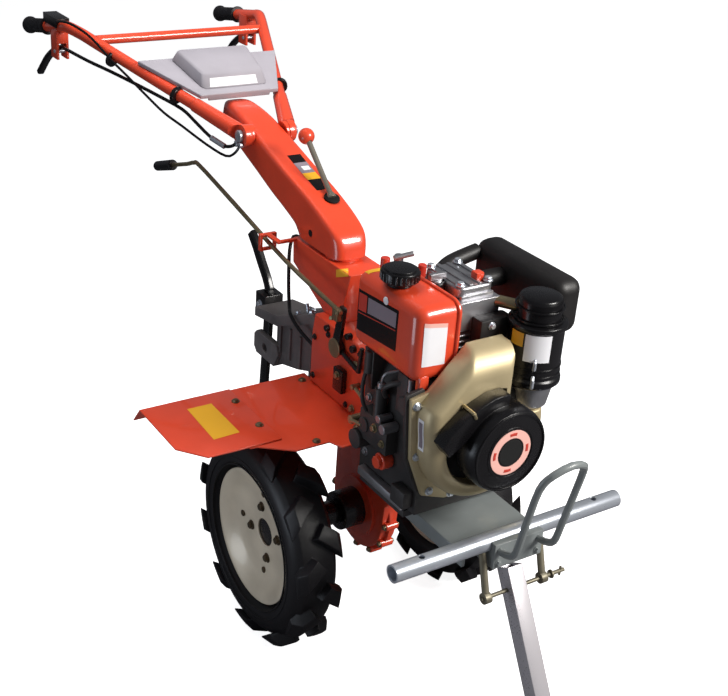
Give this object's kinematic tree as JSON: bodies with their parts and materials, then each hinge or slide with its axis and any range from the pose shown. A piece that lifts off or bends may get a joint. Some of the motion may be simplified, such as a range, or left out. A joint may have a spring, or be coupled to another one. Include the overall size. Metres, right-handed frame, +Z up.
{
  "type": "power tiller",
  "caption": "Two-wheeled walk-behind power tiller with a diesel engine, lugged tyres, fenders, swivelling neck, tilting handlebar, front bumper and a folding front stand.",
  "frame": {"origin": "centre of the bounding box's footprint, on the ground", "axes": "+Z up, +Y towards the handlebar grips at the rear, +X to the machine's left"},
  "size_m": [0.884, 1.8144, 1.2135],
  "materials": {
    "orange_paint": "glossy enamel over castings and pressings",
    "black_paint": "satin black enamel",
    "dark_casting": "dark grey painted casting",
    "alloy": "bare die-cast aluminium",
    "champagne_paint": "champagne metallic enamel",
    "black_plastic": "moulded black plastic",
    "grip_rubber": "moulded rubber grip",
    "grey_plastic": "pale grey moulded plastic",
    "grey_paint": "grey enamel",
    "zinc_steel": "bright zinc plate",
    "yellow_zinc": "yellow passivated zinc plate",
    "tyre_rubber": "agricultural tyre rubber",
    "cream_paint": "cream enamel"
  },
  "bodies": {
    "frame": {"gearcase": "orange_paint", "axle_housings": "black_paint", "gearbox": "orange_paint", "column": "orange_paint", "lever_guide": "orange_paint", "fenders": "orange_paint", "fender_extensions": "orange_paint", "base_plate": "grey_paint", "crankcase": "dark_casting", "cylinder_head": "alloy", "rocker_cover": "alloy", "fan_cowl": "champagne_paint", "recoil_starter": "black_plastic", "fuel_tank": "orange_paint", "fuel_cap": "black_plastic", "air_cleaner_base": "alloy", "air_cleaner": "black_plastic", "intake_elbow": "alloy", "muffler": "black_paint", "exhaust_pipe": "black_paint", "injection_pump": "dark_casting", "oil_cap": "orange_paint", "bumper_tube": "zinc_steel", "bumper_bracket": "grey_paint", "guard_loop": "grey_paint", "stand_hangers": "yellow_zinc", "hitch_housing": "dark_casting", "drag_bar_clamp": "black_paint", "drag_bar": "black_paint", "rear_cable": "black_plastic", "shift_rod": "yellow_zinc", "shift_grip": "grip_rubber", "shift_pivot": "black_paint"},
    "neck": {"swivel_disc": "orange_paint", "neck": "orange_paint", "pivot_bosses": "orange_paint", "pivot_bolts": "black_paint", "gear_lever": "black_plastic", "gear_knob": "orange_paint"},
    "handlebar": {"handle_arms": "orange_paint", "handle_tube_right": "orange_paint", "handle_tube_left": "orange_paint", "handle_crossbar": "orange_paint", "grips": "grip_rubber", "clutch_levers": "black_plastic", "lever_brackets": "orange_paint", "throttle_box": "black_plastic", "handle_cables": "black_plastic", "toolbox_tray": "grey_plastic", "toolbox_cover": "grey_plastic"},
    "wheel_right": {"tyre_right": "tyre_rubber", "rim_right": "cream_paint", "axle_right": "black_paint"},
    "wheel_left": {"tyre_left": "tyre_rubber", "rim_left": "cream_paint", "axle_left": "black_paint"},
    "stand": {"stand_leg": "zinc_steel", "stand_foot": "zinc_steel"}
  },
  "joints": [
    {"name": "wheel_right_spin", "type": "hinge", "parent": "frame", "child": "wheel_right", "pos_m": [-0.226, -0.20861, 0.235], "axis": [1, 0, 0], "continuous": true},
    {"name": "wheel_left_spin", "type": "hinge", "parent": "frame", "child": "wheel_left", "pos_m": [0.226, -0.20861, 0.235], "axis": [1, 0, 0], "continuous": true},
    {"name": "stand_fold", "type": "hinge", "parent": "frame", "child": "stand", "pos_m": [0, -0.73835, 0.29892], "axis": [1, 0, 0], "range_deg": [0, 100]},
    {"name": "neck_swivel", "type": "hinge", "parent": "frame", "child": "neck", "pos_m": [0, -0.15035, 0.78621], "axis": [0, -0.1219, 0.9925], "range_deg": [-30, 30]},
    {"name": "handlebar_tilt", "type": "hinge", "parent": "neck", "child": "handlebar", "pos_m": [0, 0.16526, 0.98918], "axis": [1, 0, 0], "range_deg": [0, 25]}
  ]
}
